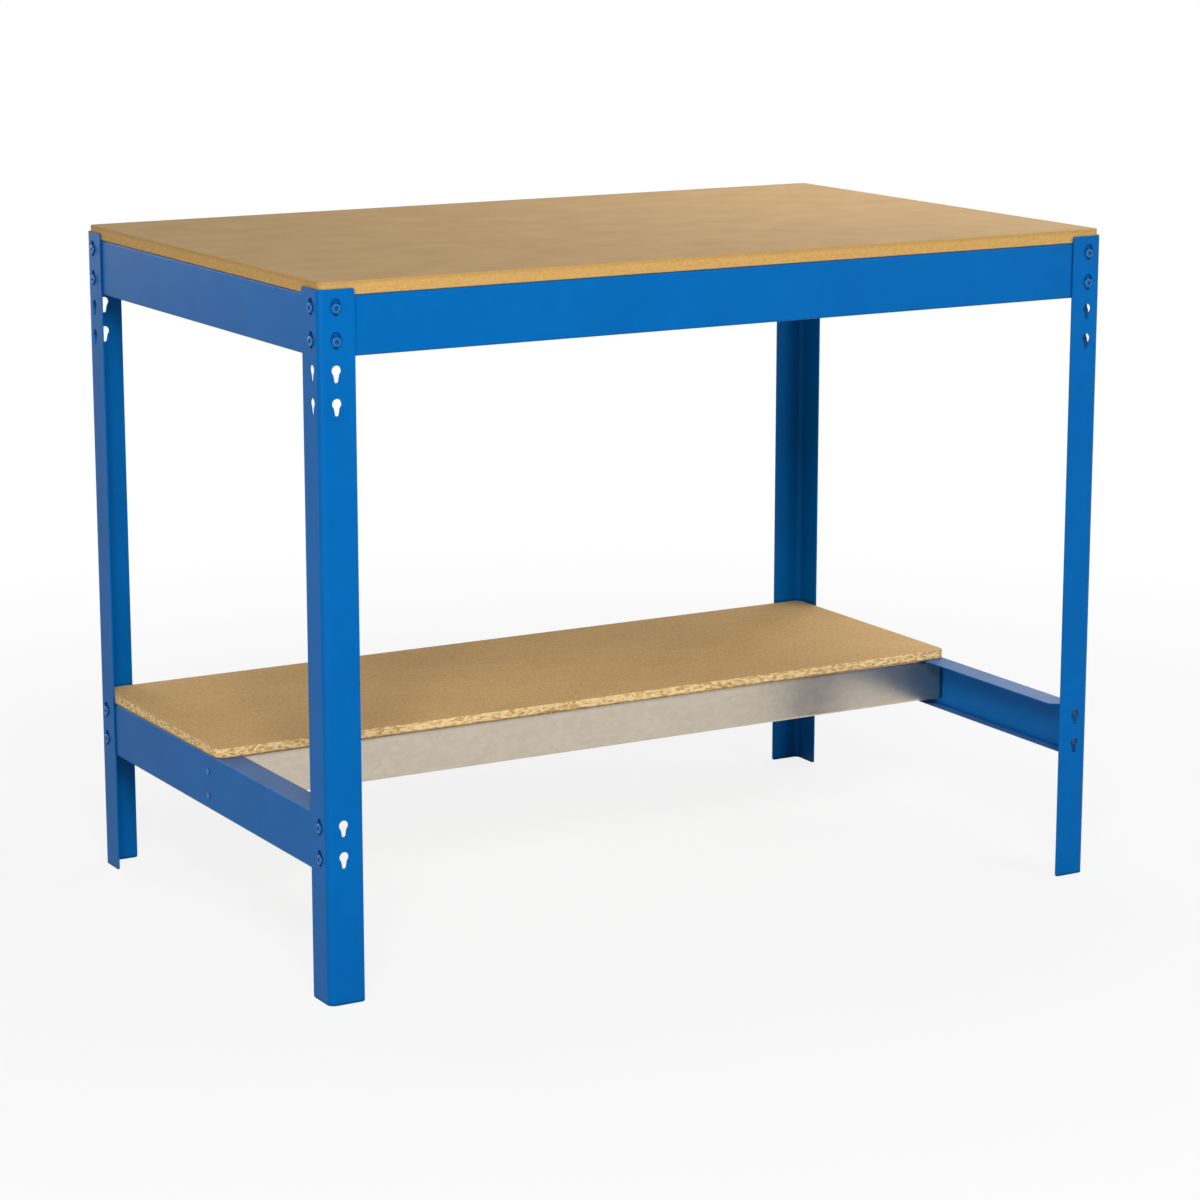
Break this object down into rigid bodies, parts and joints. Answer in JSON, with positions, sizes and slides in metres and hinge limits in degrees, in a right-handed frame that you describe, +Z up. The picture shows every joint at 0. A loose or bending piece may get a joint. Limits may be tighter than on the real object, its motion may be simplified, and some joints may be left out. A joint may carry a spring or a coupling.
{
  "type": "workbench",
  "caption": "Boltless steel workbench: blue angle posts with keyholes, channel beams that hook in, a drop-in worktop board and a half-depth lower shelf on a galvanised stringer.",
  "frame": {"origin": "floor level under the middle of the bench", "axes": "+X along the bench to the right of a person standing in front of it, +Y from its front to its rear, +Z up"},
  "size_m": [1.1048, 0.6948, 0.85],
  "materials": {
    "blue_paint": "satin powder coat",
    "galvanised_steel": "bare galvanised sheet",
    "worktop_board": "sanded particle board",
    "shelf_chipboard": "raw chipboard with speckled edges"
  },
  "bodies": {
    "frame": {"front_left_post": "blue_paint", "front_right_post": "blue_paint", "rear_right_post": "blue_paint", "rear_left_post": "blue_paint", "upper_front_beam": "blue_paint", "upper_right_beam": "blue_paint", "upper_rear_beam": "blue_paint", "upper_left_beam": "blue_paint", "lower_right_beam": "blue_paint", "lower_rear_beam": "blue_paint", "lower_left_beam": "blue_paint", "upper_front_studs": "blue_paint", "upper_right_studs": "blue_paint", "upper_rear_studs": "blue_paint", "upper_left_studs": "blue_paint", "lower_right_studs": "blue_paint", "lower_rear_studs": "blue_paint", "lower_left_studs": "blue_paint", "shelf_stringer": "galvanised_steel", "stringer_right_rivets": "blue_paint", "stringer_left_rivets": "blue_paint"},
    "worktop": {"worktop_board": "worktop_board"},
    "shelf": {"shelf_board": "shelf_chipboard"}
  },
  "joints": [
    {"name": "worktop_lift", "type": "slide", "parent": "frame", "child": "worktop", "axis": [0, 0, 1], "range_m": [0, 0.2]},
    {"name": "shelf_lift", "type": "slide", "parent": "frame", "child": "shelf", "axis": [0, 0, 1], "range_m": [0, 0.2]}
  ]
}
